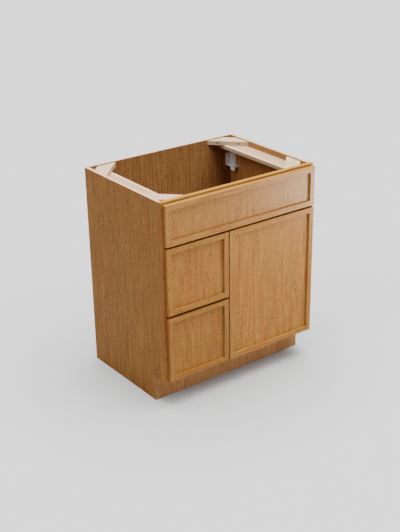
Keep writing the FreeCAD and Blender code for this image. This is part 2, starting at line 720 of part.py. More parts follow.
# Door, with a cup bored into its back for each hinge
door_members, door_panel = shaker_front(
    door_left_x, fronts_right_x, fronts_bottom_z, fronts_low_top_z)
cups = []
pins = []
cup_screws = []
arms = []
arm_left_x = opening_edge_x - arm_thickness
cup_inner_radius = cup_radius - cup_wall
cheek_low = arm_half_height + hinge_running_gap
pin_half = cheek_low + hinge_cheek_thickness
for hinge_z in (fronts_bottom_z + hinge_end_inset, fronts_low_top_z - hinge_end_inset):
    shell = rod("y", cup_centre_x, fronts_back_y, hinge_z, cup_radius, -cup_depth)
    door_members = [member.cut(shell) for member in door_members]
    door_panel = door_panel.cut(shell)
    flange = board(
        cup_centre_x - cup_flange_left, cup_centre_x + cup_flange_right,
        fronts_back_y, fronts_back_y + cup_flange_thickness,
        hinge_z - cup_flange_half_height, hinge_z + cup_flange_half_height)
    rim = rod("y", cup_centre_x, fronts_back_y, hinge_z, cup_radius, cup_flange_thickness)
    hollow = rod(
        "y", cup_centre_x, fronts_back_y + cup_flange_thickness, hinge_z, cup_inner_radius,
        -(cup_depth - cup_wall + cup_flange_thickness))
    pin_hole = rod(
        "z", hinge_pin_x, hinge_pin_y, hinge_z - pin_half, hinge_pin_radius + hinge_pin_fit,
        2 * pin_half)
    cup = joined([shell, flange, rim]).cut(hollow)
    # Two cheeks inside the cup hold the ends of the pin.
    for low in (cheek_low, -cheek_low - hinge_cheek_thickness):
        cheek = board(
            hinge_pin_x - hinge_cheek_half, fronts_right_x, fronts_back_y - cup_depth,
            hinge_pin_y + hinge_cheek_half, hinge_z + low, hinge_z + low + hinge_cheek_thickness)
        cup = joined([cup, cheek.common(shell)])
    cup = cup.cut(pin_hole)
    screw_x = cup_centre_x - cup_screw_offset
    for z in (hinge_z - cup_screw_spread / 2, hinge_z + cup_screw_spread / 2):
        outer_y = fronts_back_y + cup_flange_thickness
        shank = rod("y", screw_x, outer_y, z, cup_screw_radius, -(cup_flange_thickness + cup_screw_bite))
        head = Part.makeCone(
            cup_screw_head_radius, cup_screw_radius, cup_flange_thickness,
            vector(screw_x, outer_y, z), vector(0, -1, 0))
        fastener = joined([shank, head])
        cup = cup.cut(fastener)
        door_panel = door_panel.cut(fastener)
        cup_screws.append(fastener)
    cups.append(cup)
    pins.append(rod(
        "z", hinge_pin_x, hinge_pin_y, hinge_z - pin_half, hinge_pin_radius, 2 * pin_half))

    # The arm turns on the pin, leaves the cup and lies on the inner edge of the stile.
    reach = board(
        arm_left_x, hinge_pin_x, hinge_pin_y - arm_thickness / 2, hinge_pin_y + arm_thickness / 2,
        hinge_z - arm_half_height, hinge_z + arm_half_height)
    neck = board(
        arm_left_x, opening_edge_x, hinge_pin_y - arm_thickness / 2,
        case_front_y + arm_base_inset, hinge_z - arm_half_height, hinge_z + arm_half_height)
    base = board(
        arm_left_x, opening_edge_x, case_front_y + arm_base_inset, frame_back_y - arm_base_inset,
        hinge_z - arm_base_half_height, hinge_z + arm_base_half_height)
    eye = rod(
        "z", hinge_pin_x, hinge_pin_y, hinge_z - arm_half_height, hinge_eye_radius,
        2 * arm_half_height)
    eye_bore = rod(
        "z", hinge_pin_x, hinge_pin_y, hinge_z - arm_half_height - cut_overrun,
        hinge_pin_radius + hinge_eye_clearance, 2 * (arm_half_height + cut_overrun))
    arm = joined([reach, neck, base, eye]).cut(eye_bore)
    screw_y = case_front_y + frame_thickness / 2
    for z in (hinge_z - arm_screw_spread / 2, hinge_z + arm_screw_spread / 2):
        length = arm_thickness + arm_screw_bite
        hole = screw_hole("x", arm_left_x, screw_y, z, length)
        arm = arm.cut(hole)
        nodes["right_stile"] = nodes["right_stile"].cut(hole)
        hardware_screws.append(screw("x", arm_left_x, screw_y, z, length, -1))
    arms.append(arm)

nodes["door_frame"] = Part.makeCompound(door_members)
nodes["door_panel"] = door_panel
nodes["hinge_cups"] = Part.makeCompound(cups)
nodes["hinge_pins"] = Part.makeCompound(pins)
nodes["hinge_cup_screws"] = Part.makeCompound(cup_screws)
nodes["hinge_arms"] = Part.makeCompound(arms)

# Bumper pads on the frame: two behind the door's free edge and two behind each drawer front
lower_front_top_z = fronts_bottom_z + drawer_front_height
pad_places = []
for z in (fronts_bottom_z + bumper_inset, fronts_low_top_z - bumper_inset):
    pad_places.append((door_left_x + bumper_inset, z))
for x in (fronts_left_x + bumper_inset, drawer_right_x - bumper_inset):
    pad_places.append((x, fronts_low_top_z - bumper_inset))
    pad_places.append((x, lower_front_top_z - bumper_inset))
nodes["bumper_pads"] = Part.makeCompound([
    rod("y", x, case_front_y, z, bumper_radius, -front_standoff) for x, z in pad_places])
nodes["hardware_screws"] = Part.makeCompound(hardware_screws)

os.makedirs("parts", exist_ok=True)
for name, shape in nodes.items():
    shape.exportStep("parts/" + name + ".step")

print(len(nodes), "nodes")
print("case front", round(case_front_y, 4), "hinge pin", round(hinge_pin_x, 4), round(hinge_pin_y, 4))
for name, (x, y) in lock_places.items():
    print("lock pin", name, round(x, 4), round(y, 4))
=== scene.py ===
from math import cos, pi, radians, sin

import bmesh
import bpy
import numpy as np
from mathutils import Matrix, Vector


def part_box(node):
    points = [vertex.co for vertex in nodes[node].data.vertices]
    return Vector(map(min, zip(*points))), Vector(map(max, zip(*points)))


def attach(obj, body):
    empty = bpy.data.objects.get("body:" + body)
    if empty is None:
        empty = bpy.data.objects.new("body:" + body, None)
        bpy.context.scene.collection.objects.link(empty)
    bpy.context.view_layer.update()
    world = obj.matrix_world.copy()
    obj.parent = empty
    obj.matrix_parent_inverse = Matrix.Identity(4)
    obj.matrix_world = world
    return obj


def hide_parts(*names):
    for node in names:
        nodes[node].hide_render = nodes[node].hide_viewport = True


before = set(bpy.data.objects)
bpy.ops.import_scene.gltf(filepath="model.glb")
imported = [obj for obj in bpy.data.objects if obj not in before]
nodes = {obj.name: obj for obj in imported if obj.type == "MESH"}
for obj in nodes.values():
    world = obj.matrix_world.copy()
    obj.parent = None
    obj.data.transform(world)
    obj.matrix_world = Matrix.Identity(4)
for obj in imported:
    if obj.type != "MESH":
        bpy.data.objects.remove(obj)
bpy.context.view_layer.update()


# Side panels: 16 mm plywood, veneered and stained on both faces, with a bare sawn edge at the top.
# Each is cut out below for the toe space, grooved for the floor and rabbeted for the back.

class Wire:
    """One value in a material's graph. Arithmetic and comparisons on it add Math nodes, and |
    joins two masks."""

    def __init__(self, tree, socket):
        self.tree = tree
        self.socket = socket

    def add(self, kind, settings=None, output=0, **inputs):
        """Adds a node of that kind, applies its settings, then fills its sockets with values or
        links. A socket's name has _ for each space, or is _ and the socket's number."""
        node = self.tree.nodes.new("ShaderNode" + kind)
        for key, value in (settings or {}).items():
            setattr(node, key, value)
        for key, value in inputs.items():
            key = key.replace("_", " ").strip()
            socket = node.inputs[int(key) if key.isdigit() else key]
            if isinstance(value, Wire):
                self.tree.links.new(value.socket, socket)
            else:
                socket.default_value = value
        return Wire(self.tree, node.outputs[output])

    def math(self, operation, *others):
        """A Math node with this value in its first socket and the others after it."""
        rest = {f"_{number}": other for number, other in enumerate(others, 1)}
        return self.add("Math", {"operation": operation}, _0=self, **rest)

    def vector(self, operation, other):
        """A Vector Math node of this vector or colour and another."""
        return self.add("VectorMath", {"operation": operation}, _0=self, _1=other)

    def __add__(self, other):
        return self.math("ADD", other)

    __radd__ = __add__

    def __mul__(self, other):
        return self.math("MULTIPLY", other)

    __rmul__ = __mul__

    def __sub__(self, other):
        return self.math("SUBTRACT", other)

    def __rsub__(self, other):
        return self.add("Math", {"operation": "SUBTRACT"}, _0=other, _1=self)

    def __gt__(self, other):
        return self.math("GREATER_THAN", other)

    def __lt__(self, other):
        return self.math("LESS_THAN", other)

    def __or__(self, other):
        return self.math("MAXIMUM", other)

    def between(self, low, high):
        """0 up to low and 1 from high, with a soft start and end to the rise."""
        return self.add("MapRange", {"interpolation_type": "SMOOTHSTEP"},
                        Value=self, From_Min=low, From_Max=high)

    def blend(self, first, second):
        """The first colour where this value is 0 and the second where it is 1."""
        first, second = (
            (*colour, 1.0) if isinstance(colour, tuple) else colour for colour in (first, second))
        return self.add("Mix", {"data_type": "RGBA", "clamp_factor": True}, output=2,
                        _0=self, _6=first, _7=second)

    def scaled(self, factor):
        """A colour made darker or lighter by a factor."""
        return self.add("VectorMath", {"operation": "SCALE"}, _0=self, Scale=factor)

    def axes(self):
        """The three components of a vector."""
        outputs = self.add("SeparateXYZ", _0=self).socket.node.outputs
        return [Wire(self.tree, socket) for socket in outputs]

    def noise(self, scale, detail=2.0, roughness=0.5):
        """Fractal noise at this place, about 0.5 on average."""
        return self.add("TexNoise", Vector=self, Scale=scale, Detail=detail, Roughness=roughness)


def plain(name, **sockets):
    """A material that is the same all over, with values for the shader's own sockets."""
    material = bpy.data.materials.new(name)
    material.use_nodes = True
    shader = material.node_tree.nodes["Principled BSDF"]
    for key, value in sockets.items():
        shader.inputs[key.replace("_", " ")].default_value = value
    return material


def finish(name, paint, roughness, specular=0.5, metallic=0.0):
    """A material whose paint function takes the place on the piece, and returns the colour there,
    the height of the surface in metres and, where that changes, the roughness."""
    material = plain(name, Roughness=roughness, Specular_IOR_Level=specular, Metallic=metallic)
    tree = material.node_tree
    shader = tree.nodes["Principled BSDF"]
    place = Wire(tree, tree.nodes.new("ShaderNodeTexCoord").outputs["Object"])
    colour, height, *rest = paint(place)
    tree.links.new(colour.socket, shader.inputs["Base Color"])
    bump = place.add("Bump", Height=height, Distance=1.0, Strength=1.0)
    tree.links.new(bump.socket, shader.inputs["Normal"])
    for rough in rest:
        tree.links.new(rough.socket, shader.inputs["Roughness"])
    return material


STAIN_TAN = (0.300, 0.140, 0.029)
STAIN_PINK = (0.270, 0.092, 0.019)
STAIN_PORE = (0.150, 0.052, 0.013)
# Each layer's squeeze along the grain, its noise's scale, detail and roughness, and its weight.
grain_layers = {
    "band": (0.06, 26.0, 2.0, 0.5, 0.10),
    "streak": (0.045, 105.0, 2.0, 0.6, 0.20),
    "fibre": (0.03, 230.0, 2.0, 0.5, 1.00),
    "fleck": (0.30, 360.0, 3.0, 0.75, 1.90)}
sway_squeeze = 0.4
sway_scale = 4.0
sway_detail = 1.0
sway_width = 0.012
streak_rise = (0.46, 0.66)
streak_share = 0.90
pore_rise = (0.34, 0.44)
pore_share = 0.60
grain_relief = 0.00004


def along(place, run, squeeze, shift):
    """The place moved by shift, then squeezed along the grain, where its patterns stretch."""
    scale = tuple(squeeze if axis == run else 1.0 for axis in "xyz")
    return place.vector("ADD", shift).vector("MULTIPLY", scale)


def stained(place, run, shift, tan=STAIN_TAN, pink=STAIN_PINK, pore=STAIN_PORE, figure=1.0):
    """Stained wood whose grain runs along an axis, as a colour and a height. Each layer is noise
    stretched along lines that sway a little. The colour is tan, pink in the streaks, and the
    pore's where the flecks are darkest. It's then scaled by 1 plus figure times the sum of each
    layer's weight times how far the layer is from 0.5."""
    sway = along(place, run, sway_squeeze, shift).noise(sway_scale, sway_detail) * sway_width
    swayed = place.add("CombineXYZ", **{
        f"_{number}": value if "xyz"[number] == run else value + sway
        for number, value in enumerate(place.axes())})
    layers, shade = {}, 1.0
    for name, (squeeze, scale, detail, roughness, weight) in grain_layers.items():
        layers[name] = along(swayed, run, squeeze, shift).noise(scale, detail, roughness)
        shade = shade + (layers[name] - 0.5) * (weight * figure)
    streaks = layers["streak"].between(*streak_rise) * streak_share
    pores = (1.0 - layers["fleck"].between(*pore_rise)) * pore_share
    colour = pores.blend(streaks.blend(tan, pink), pore)
    return colour.scaled(shade), (layers["fibre"] + layers["fleck"]) * grain_relief


PLY_BRIGHT = (0.54, 0.40, 0.265)
PLY_DULL = (0.37, 0.25, 0.15)
ply_pitch = 0.0045
ply_share = 0.7
fuzz_scale = 260.0
fuzz_detail = 3.0


def sawn_ply(place, depth, shift, pitch=ply_pitch, dull=PLY_DULL):
    """The sawn edge of plywood: a cosine of the depth below its face, pale at the face and duller
    in every other ply, with fuzz from the saw."""
    layer = 0.5 - (depth * (2 * pi / pitch)).math("COSINE") * 0.5
    fuzz = place.vector("ADD", shift).noise(fuzz_scale, fuzz_detail)
    return (layer * ply_share + fuzz * (1 - ply_share)).blend(PLY_BRIGHT, dull)


def show(piece, body, node):
    """Puts a piece in the scene in place of a CAD node, to move with its body."""
    bpy.context.scene.collection.objects.link(piece)
    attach(piece, body)
    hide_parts(node)


weld_reach = 1e-6
flat_angle = radians(0.5)
sharp_angle = radians(50)


def eased(node, body, ease, material):
    """A copy of a CAD node, its triangles merged into flat faces and its sharp edges rounded by
    ease, as sanding or a mould leaves them."""
    shape = bmesh.new()
    shape.from_mesh(nodes[node].data)
    bmesh.ops.remove_doubles(shape, verts=shape.verts, dist=weld_reach)
    bmesh.ops.dissolve_limit(shape, angle_limit=flat_angle, verts=shape.verts, edges=shape.edges)
    mesh = bpy.data.meshes.new(node + "_sanded")
    shape.to_mesh(mesh)
    shape.free()
    mesh.materials.append(material)
    piece = bpy.data.objects.new(node + "_sanded", mesh)
    round_over = piece.modifiers.new("eased", "BEVEL")
    round_over.width = ease
    round_over.segments = 2
    round_over.limit_method = "ANGLE"
    round_over.angle_limit = sharp_angle
    show(piece, body, node)


# The side's outer face is painted darker than the fronts' stain, as painted shade, and its inner
# face lighter and bluer, a painted lift of the shade inside the case.
SHADED_SIDE_TAN = (0.186, 0.083, 0.0185)
SHADED_SIDE_PINK = (0.164, 0.0555, 0.0117)
SHADED_SIDE_PORE = (0.096, 0.0326, 0.0088)
LIFTED_INNER_TAN = (0.330, 0.168, 0.060)
LIFTED_INNER_PINK = (0.286, 0.116, 0.043)
side_figure = 1.3
sanded = 0.0004
face_depth = 0.0006
face_ply = 0.0012


def side_panel(side, shift):
    """The plies are bare at the rim, at the foot and behind, between the two stained face plies."""
    low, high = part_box(side + "_side_panel")

    def paint(place):
        x, y, z = place.axes()
        # Outer face: painted shade. Inner face: painted lift of the shade inside the case.
        outer, height = stained(place, "z", shift, SHADED_SIDE_TAN, SHADED_SIDE_PINK, SHADED_SIDE_PORE, side_figure)
        inner = stained(place, "z", shift, LIFTED_INNER_TAN, LIFTED_INNER_PINK)[0]
        inside = x > high[0] - face_depth if side == "left" else x < low[0] + face_depth
        sawn = (z > high[2] - face_depth) | (z < low[2] + face_depth) | (y > high[1] - face_depth)
        core = (x > low[0] + face_ply) * (x < high[0] - face_ply)
        plies = sawn_ply(place, x - low[0], shift)
        return (sawn * core).blend(inside.blend(outer, inner), plies), height

    eased(side + "_side_panel", "cabinet", sanded,
          finish(side + " side veneer", paint, roughness=0.5, specular=0.05))


side_panel("left", (0.0, 0.0, 0.0))
side_panel("right", (3.1, 1.7, 0.9))


# Back panel: 6 mm plywood, stained on the inside only, let into rabbets in the sides.
# Its outer face is bare and its top edge shows the plies.

BACK_TAN = (0.255, 0.126, 0.044)
BACK_PINK = (0.212, 0.080, 0.028)
BARE_TAN = (0.46, 0.33, 0.205)
BARE_PINK = (0.42, 0.285, 0.17)
BARE_PORE = (0.30, 0.20, 0.12)
bare_figure = 0.6
thin_ply_pitch = 0.0032
thin_sanded = 0.0003
back_low, back_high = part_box("back_panel")


def back_paint(place):
    x, y, z = place.axes()
    inside, height = stained(place, "z", (5.3, 2.2, 1.1), BACK_TAN, BACK_PINK)
    bare = stained(place, "z", (1.3, 4.2, 2.1), BARE_TAN, BARE_PINK, BARE_PORE, bare_figure)[0]
    face = (y > back_high[1] - face_depth).blend(inside, bare)
    sawn = (z > back_high[2] - face_depth) | (z < back_low[2] + face_depth)
    plies = sawn_ply(place, y - back_low[1], (0.3, 0.2, 0.1), thin_ply_pitch)
    return sawn.blend(face, plies), height


eased("back_panel", "cabinet", thin_sanded,
      finish("back panel veneer", back_paint, roughness=0.55, specular=0.1))


# Floor of the case and the backer of the toe board: stained plywood with level grain. The floor is
# held in dados in the sides, and the backer stands under its front edge.

def floor_paint(place):
    return stained(place, "x", (2.9, 0.4, 3.3))


floor_finish = finish("case floor veneer", floor_paint, roughness=0.45, specular=0.12)
eased("cabinet_floor", "cabinet", sanded, floor_finish)
eased("toe_kick_backer", "cabinet", sanded, floor_finish)


# Face frame: solid boards 19 mm thick, the outer stiles as tall as the frame and the rails between
# them. The grain follows each board. The outer edges are sanded a little round. The stiles' outer
# faces are painted darker, as painted shade like the sides', and the tops take a painted tint for
# the light from above.

FRAME_TAN = (0.292, 0.138, 0.036)
FRAME_PINK = (0.262, 0.094, 0.025)
# Painted light on the top faces: a darker, yellower tint for how light from above falls on them.
TOP_LIGHT_TINT = (0.285, 0.142, 0.020)
top_light_tint_share = 0.7
frame_ease = 0.0006
# Painted shade: factors that darken the stiles' outer faces and the fronts' edges in the gaps.
EDGE_SHADE = (0.66, 0.51, 0.32)
half_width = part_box("right_stile")[1][0]
frame_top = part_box("top_rail")[1][2]


def edge_light_and_shade(colour, edge, factors):
    """The colour, multiplied by its factors for red, green and blue where it is an edge: painted
    shade where the factors are below 1 and painted light where they are above.
    """
    return edge.blend(colour, colour.vector("MULTIPLY", factors))


def frame_board(node, run, shift):
    def paint(place):
        x, y, z = place.axes()
        colour, height = stained(place, run, shift, FRAME_TAN, FRAME_PINK)
        # The top faces take the painted light tint.
        colour = ((z > frame_top - face_depth) * top_light_tint_share).blend(colour, TOP_LIGHT_TINT)
        # The stiles' outer faces take the painted shade.
        outer = x.math("ABSOLUTE") > half_width - face_depth
        return edge_light_and_shade(colour, outer, EDGE_SHADE), height

    eased(node, "cabinet", frame_ease,
          finish(node.replace("_", " ") + " wood", paint, roughness=0.36, specular=0.06))


frame_board("left_stile", "z", (0.2, 3.3, 0.1))
frame_board("right_stile", "z", (1.2, 2.3, 0.6))
frame_board("centre_stile", "z", (2.2, 1.3, 1.1))
frame_board("top_rail", "x", (0.3, 0.3, 4.1))
frame_board("middle_rail", "x", (1.4, 4.3, 3.1))
frame_board("bottom_rail", "x", (2.5, 3.2, 2.1))
frame_board("drawer_rail", "x", (3.6, 2.1, 1.1))


# Toe-kick board: thin plywood across the whole front, set back for the toes. Its grain stands
# upright. It is painted lighter than the sides, a painted lift of the shade under the overhang,
# and painted darker towards its two ends and on its end faces, as painted shade.

LIFTED_TOE_TAN = (0.49, 0.25, 0.10)
LIFTED_TOE_PINK = (0.44, 0.19, 0.075)
LIFTED_TOE_PORE = (0.24, 0.11, 0.045)
toe_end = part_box("toe_kick_board")[1][0]
toe_end_shade_start = 0.25
toe_end_shade_end = 0.37
toe_end_shade_share = 0.3


def toe_paint(place):
    from_middle = place.axes()[0].math("ABSOLUTE")
    face, height = stained(place, "z", (4.4, 0.6, 2.0), LIFTED_TOE_TAN, LIFTED_TOE_PINK, LIFTED_TOE_PORE)
    # Painted shade towards both ends, and the sides' painted shade on the end faces.
    painted_end_shade = from_middle.between(toe_end_shade_start, toe_end_shade_end) * toe_end_shade_share
    return (from_middle > toe_end - face_depth).blend(face.scaled(1.0 - painted_end_shade), SHADED_SIDE_TAN), height


eased("toe_kick_board", "cabinet", sanded,
      finish("toe board veneer", toe_paint, roughness=0.5, specular=0.06))


# Top cleats and corner blocks: bare pale plywood. The cleats run along the sides and the blocks lie
# on their ends. The blocks are screwed through bored pockets to the sides, the back and the frame,
# and take the screws for the vanity top.

# The cleats' tops are paler towards the middle of the cabinet and darker nearer the sides' rims.
PALE_TOP = (0.50, 0.365, 0.235)
PALE_TOP_STREAK = (0.45, 0.31, 0.19)
PALE_TOP_PORE = (0.38, 0.26, 0.16)
CLEAT_TONE = (0.36, 0.23, 0.135)
CLEAT_DULL_PLY = (0.29, 0.18, 0.10)
BLOCK_TONE = (0.44, 0.295, 0.180)
BLOCK_DULL_PLY = (0.44, 0.305, 0.19)
tone_streak_share = 0.86
tone_pore_share = 0.7
birch_figure = 0.4
birch_plies = 4
birch_edge_depth = 0.0008
birch_ease = 0.0005
pale_top_reach = 0.3015


def birch_board(node, run, shift, board_tone, dull, pale_top_width):
    """Bare birch plywood, whose plies show on every upright edge. Its top is paler as far as
    pale_top_width from the middle of the cabinet, and takes board_tone beyond."""
    low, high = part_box(node)
    streak = tuple(channel * tone_streak_share for channel in board_tone)
    pore = tuple(channel * tone_pore_share for channel in board_tone)

    def paint(place):
        x, y, z = place.axes()
        face, height = stained(place, run, shift, board_tone, streak, pore, birch_figure)
        pale_top = stained(place, run, shift, PALE_TOP, PALE_TOP_STREAK, PALE_TOP_PORE, birch_figure)[0]
        face = (x.math("ABSOLUTE") < pale_top_width).blend(face, pale_top)
        depth = high[2] - z
        upright = (depth > birch_edge_depth) * (z > low[2] + birch_edge_depth)
        plies = sawn_ply(place, depth, shift, (high[2] - low[2]) / birch_plies, dull)
        return upright.blend(face, plies), height

    eased(node, "cabinet", birch_ease,
          finish(node.replace("_", " ") + " birch", paint, roughness=0.65, specular=0.15))


for node, shift in (("left_top_cleat", (0.4, 0.2, 0.7)), ("right_top_cleat", (1.4, 0.9, 0.1))):
    birch_board(node, "y", shift, CLEAT_TONE, CLEAT_DULL_PLY, pale_top_reach)
for node, shift in (
        ("rear_left_corner_block", (2.4, 0.8, 0.3)), ("rear_right_corner_block", (3.4, 0.1, 0.5)),
        ("front_left_corner_block", (4.4, 0.7, 0.6)),
        ("front_right_corner_block", (5.4, 0.5, 0.2))):
    birch_board(node, "x", shift, BLOCK_TONE, BLOCK_DULL_PLY, 0.0)


# Fronts: slim frames of two stiles and two rails around a thin recessed panel of veneer.
# The false front is fixed, the drawer fronts are screwed to their boxes, the door is hinged.

# Painted shade on the recess walls around each panel: darker and less saturated.
RECESS_SHADE = (0.27, 0.135, 0.050)
UNCHANGED = (1.0, 1.0, 1.0)
# Painted light on the door's upright edges, which show lit in the gap beside the drawers.
EDGE_LIGHT = (1.35, 1.7, 3.0)
front_member = 0.0222
recess_shade_reach = 0.0003
joint_reach = 0.0002
joint_share = 0.5


def front_frame(node, body, shift, falloff_tone, gloss, roughness, side_edge_light_and_shade, end_edge_shade, top_tint_share):
    """The grain turns at the joints: upright on the stiles and level on the rails between. The
    outer edges take painted shade by side_edge_light_and_shade at the sides, painted light on the
    door's, and painted shade by end_edge_shade above and below. The recess walls take painted
    shade, the top edge the painted top tint by top_tint_share, and the whole is scaled by
    falloff_tone, painted shade that falls off across the fronts."""
    low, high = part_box(node)

    def paint(place):
        x, y, z = place.axes()
        from_side = (x - low[0]).math("MINIMUM", high[0] - x)
        from_end = (z - low[2]).math("MINIMUM", high[2] - z)
        upright, height = stained(place, "z", shift)
        level = stained(place, "x", (shift[1], shift[2], shift[0]))[0]
        colour = (from_side > front_member).blend(upright, level)
        # The recess walls on the stiles' inner edges take the painted shade.
        wall = from_side.math("COMPARE", front_member, recess_shade_reach)
        colour = (wall * (from_end > front_member)).blend(colour, RECESS_SHADE)
        joint = from_side.math("COMPARE", front_member, joint_reach)
        joint = joint * (from_end < front_member) * joint_share
        colour = joint.blend(colour, STAIN_PORE)
        colour = ((z > high[2] - face_depth) * top_tint_share).blend(colour, TOP_LIGHT_TINT)
        # The outer edges take painted shade, and the door's upright edges painted light.
        side = from_side < face_depth
        end = (from_end < face_depth) * (1.0 - side)
        colour = edge_light_and_shade(edge_light_and_shade(colour, side, side_edge_light_and_shade), end, end_edge_shade)
        return colour.scaled(falloff_tone), height

    eased(node, body, sanded,
          finish(node.replace("_", " ") + " wood", paint, roughness, specular=gloss))


def front_panel(node, body, shift, falloff_tone, gloss, roughness):
    def paint(place):
        colour, height = stained(place, "z", shift)
        return colour.scaled(falloff_tone), height

    eased(node, body, thin_sanded,
          finish(node.replace("_", " ") + " veneer", paint, roughness, specular=gloss))


# Each front's falloff_tone is painted shade: the drawer fronts on the left, the lower one most, are
# painted darker than the door on the right, where the light falls off.
for name, body, shift, falloff_tone, gloss, roughness, edges in (
        ("false_front", "cabinet", (0.7, 5.1, 0.3), 0.91, 0.17, 0.33,
         (EDGE_SHADE, UNCHANGED, top_light_tint_share)),
        ("upper_drawer_front", "upper_drawer", (1.7, 4.1, 1.3), 0.86, 0.09, 0.38,
         (EDGE_SHADE, EDGE_SHADE, 0.0)),
        ("lower_drawer_front", "lower_drawer", (2.7, 3.1, 2.3), 0.80, 0.09, 0.38,
         (EDGE_SHADE, EDGE_SHADE, 0.0)),
        ("door", "door", (3.7, 2.1, 3.3), 0.96, 0.09, 0.38, (EDGE_LIGHT, EDGE_SHADE, 0.0))):
    front_frame(name + "_frame", body, shift, falloff_tone, gloss, roughness, *edges)
    front_panel(name + "_panel", body, (shift[2], shift[0], shift[1]), falloff_tone, gloss, roughness)


# Drawer boxes: maple boards with a clear coat, the sides dovetailed to the front and back, and a
# thin bottom let into grooves. Each front is screwed on from inside its box.

MAPLE = (0.43, 0.285, 0.150)
MAPLE_STREAK = (0.385, 0.240, 0.115)
MAPLE_PORE = (0.34, 0.21, 0.10)
END_GRAIN = (0.30, 0.18, 0.08)
SEAM = (0.12, 0.065, 0.03)
maple_figure = 0.35
dovetail_pitch = 0.0254
dovetail_slope = 0.16
dovetail_half_width = 0.003
seam_reach = 0.00015
end_grain_scale = 900.0
box_ease = 0.0008


def dovetailed(place, colour, side, low, high):
    """The colour with dovetails on a box side's outer face: the ends of the pins show within a
    wall's thickness of either end. Pins repeat up the side, and each widens by the slope as it
    goes in from the end."""
    x, y, z = place.axes()
    wall = high[0] - low[0]
    from_end = (y - low[1]).math("MINIMUM", high[1] - y)
    from_pin = (z - low[2]).math("PINGPONG", dovetail_pitch / 2)
    half_pin = from_end * dovetail_slope + dovetail_half_width
    on_face = x < low[0] + face_depth if side == "left_side" else x > high[0] - face_depth
    joint = (from_end < wall) * on_face
    end_grain = place.noise(end_grain_scale).blend(END_GRAIN, MAPLE_PORE)
    colour = (joint * (from_pin < half_pin)).blend(colour, end_grain)
    slanted = joint * from_pin.math("COMPARE", half_pin, seam_reach)
    straight = from_end.math("COMPARE", wall, seam_reach) * on_face
    return (slanted + straight).blend(colour, SEAM)


def box_board(drawer, part, run, shift):
    node = f"{drawer}_drawer_{part}"
    low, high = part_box(node)

    def paint(place):
        colour, height = stained(place, run, shift, MAPLE, MAPLE_STREAK, MAPLE_PORE, maple_figure)
        if part in ("left_side", "right_side"):
            colour = dovetailed(place, colour, part, low, high)
        return colour, height

    eased(node, drawer + "_drawer", box_ease,
          finish(node.replace("_", " ") + " maple", paint, roughness=0.4, specular=0.3))


for drawer in ("upper", "lower"):
    box_board(drawer, "left_side", "y", (0.4, 0.2, 0.7))
    box_board(drawer, "right_side", "y", (1.4, 0.9, 0.1))
    box_board(drawer, "box_front", "x", (2.4, 0.8, 0.3))
    box_board(drawer, "box_back", "x", (3.4, 0.1, 0.5))
    box_board(drawer, "bottom", "y", (4.4, 0.7, 0.6))


# Screws: zinc-plated, each pan or countersunk head pressed with a cross for the driver. They hold
# the blocks, brackets, slides, hinges and fronts.

def solids(node):
    """The corner points of each separate solid in a CAD node. Corners within a micrometre are one
    point. Every point starts with its own number, and takes the lowest number in its triangles
    until nothing changes, so that each solid ends with one number."""
    mesh = nodes[node].data
    points = np.empty(len(mesh.vertices) * 3, dtype=np.float32)
    mesh.vertices.foreach_get("co", points)
    corners = np.empty(len(mesh.loops), dtype=np.int32)
    mesh.loops.foreach_get("vertex_index", corners)
    points, merged = np.unique(points.reshape(-1, 3).round(6), axis=0, return_inverse=True)
    triangles = merged.ravel()[corners].reshape(-1, 3)
    number = np.arange(len(points))
    while True:
        spread = number.copy()
        np.minimum.at(spread, triangles, number[triangles].min(axis=1, keepdims=True))
        if (spread == number).all():
            return [points[number == solid] for solid in np.unique(number)]
        number = spread


def screw_places(node):
    """The middle of the head's top, the way in and the length of each screw in a CAD node. A screw
    lies along its box's longest side, and its head is at the end where it is widest."""
    tops, ways, lengths = [], [], []
    for points in solids(node):
        low, high = points.min(axis=0), points.max(axis=0)
        middle, axis = (low + high) / 2, np.argmax(high - low)
        across = np.linalg.norm(np.delete(points - middle, axis, axis=1), axis=1)
        way = np.zeros(3)
        way[axis] = np.sign(middle[axis] - points[np.argmax(across)][axis])
        lengths.append(high[axis] - low[axis])
        tops.append(middle - way * lengths[-1] / 2)
        ways.append(way)
    return np.array(tops), np.array(ways), np.array(lengths)


def quilt(rows, columns):
    """The faces of a grid of points whose columns close on themselves."""
    row, column = np.meshgrid(np.arange(rows - 1), np.arange(columns), indexing="ij")
    ahead = (column + 1) % columns
    corners = (row * columns + column, row * columns + ahead,
               (row + 1) * columns + ahead, (row + 1) * columns + column)
    return np.stack(corners, axis=-1).reshape(-1, 4)


turn_steps = 48
crown = 0.0009
cross_flank = 0.00015
cross_end = 0.0004
crease_angle = radians(32)


